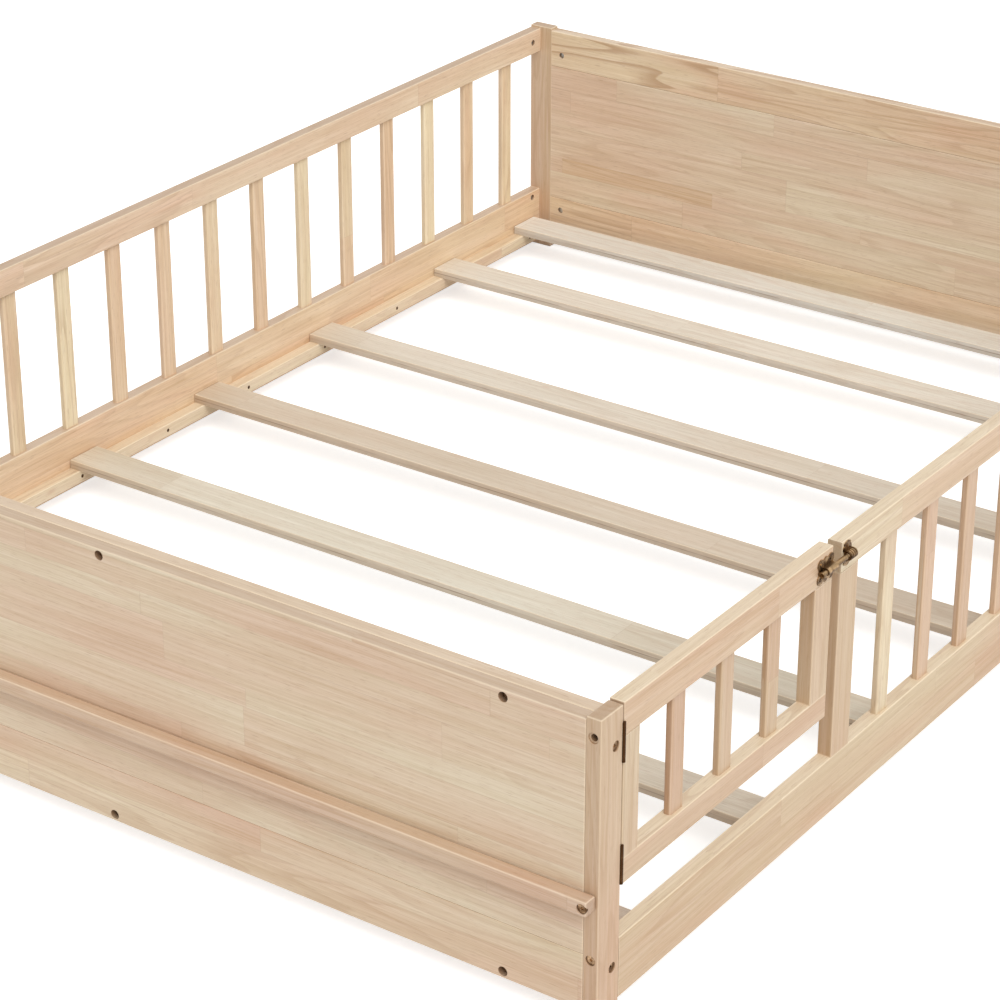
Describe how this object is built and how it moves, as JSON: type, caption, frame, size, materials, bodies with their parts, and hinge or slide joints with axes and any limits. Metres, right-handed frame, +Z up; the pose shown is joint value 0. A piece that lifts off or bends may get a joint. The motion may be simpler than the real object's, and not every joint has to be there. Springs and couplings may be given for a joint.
{
  "type": "toddler floor bed",
  "caption": "Low solid-wood toddler floor bed with panelled ends, spindle side rails, a hinged side gate with a sliding bolt, and loose slats on cleats.",
  "frame": {"origin": "bottom centre of the bed's bounding box, on the floor", "axes": "+X from the foot to the head, +Y from the gate side (front) to the back, +Z up"},
  "size_m": [2, 1.4542, 0.414],
  "materials": {
    "frame_wood": "finger-jointed pale hardwood, clear satin lacquer",
    "slat_wood": "pale two-ply slats, sanded",
    "dowel_wood": "plain dowel",
    "antique_bronze": "antique bronze plating",
    "zinc_plated_steel": "zinc plated"
  },
  "bodies": {
    "bed": {"foot_front_post": "frame_wood", "foot_back_post": "frame_wood", "head_front_post": "frame_wood", "head_back_post": "frame_wood", "headboard_bottom_rail": "frame_wood", "headboard_panel": "frame_wood", "headboard_top_rail": "frame_wood", "footboard_inner_bottom_rail": "frame_wood", "footboard_inner_panel": "frame_wood", "footboard_inner_top_rail": "frame_wood", "footboard_outer_board": "frame_wood", "footboard_outer_panel": "frame_wood", "footboard_ledge": "frame_wood", "back_top_rail": "frame_wood", "back_bottom_board": "frame_wood", "back_spindles": "frame_wood", "front_side_board": "frame_wood", "front_top_rail": "frame_wood", "gate_post": "frame_wood", "front_spindles": "frame_wood", "front_slat_cleat": "frame_wood", "back_slat_cleat": "frame_wood", "slat_1": "slat_wood", "slat_2": "slat_wood", "slat_3": "slat_wood", "slat_4": "slat_wood", "slat_5": "slat_wood", "slat_6": "slat_wood", "slat_7": "slat_wood", "lower_hinge_post_leaf": "antique_bronze", "upper_hinge_post_leaf": "antique_bronze", "lower_hinge_pin": "antique_bronze", "upper_hinge_pin": "antique_bronze", "hinge_post_screws": "antique_bronze", "latch_keeper": "antique_bronze", "keeper_screws": "antique_bronze", "ledge_bolts": "antique_bronze", "long_connector_bolts": "antique_bronze", "short_connector_bolts": "antique_bronze", "upright_dowels": "dowel_wood", "rail_dowels": "dowel_wood", "barrel_nuts": "zinc_plated_steel", "cleat_screws": "zinc_plated_steel", "footboard_screws": "zinc_plated_steel"},
    "gate": {"gate_top_rail": "frame_wood", "gate_bottom_rail": "frame_wood", "gate_hinge_stile": "frame_wood", "gate_latch_stile": "frame_wood", "gate_spindle_1": "frame_wood", "gate_spindle_2": "frame_wood", "gate_spindle_3": "frame_wood", "lower_hinge_gate_leaf": "antique_bronze", "upper_hinge_gate_leaf": "antique_bronze", "hinge_gate_screws": "antique_bronze", "latch_plate": "antique_bronze", "latch_plate_screws": "antique_bronze", "gate_dowels": "dowel_wood"},
    "bolt": {"latch_bolt": "antique_bronze"}
  },
  "joints": [
    {"name": "gate_swing", "type": "hinge", "parent": "bed", "child": "gate", "pos_m": [-0.935, -0.71525, 0.296], "axis": [0, 0, -1], "range_deg": [0, 170]},
    {"name": "bolt_slide", "type": "slide", "parent": "gate", "child": "bolt", "axis": [1, 0, 0], "range_m": [-0.022, 0.0075]}
  ]
}
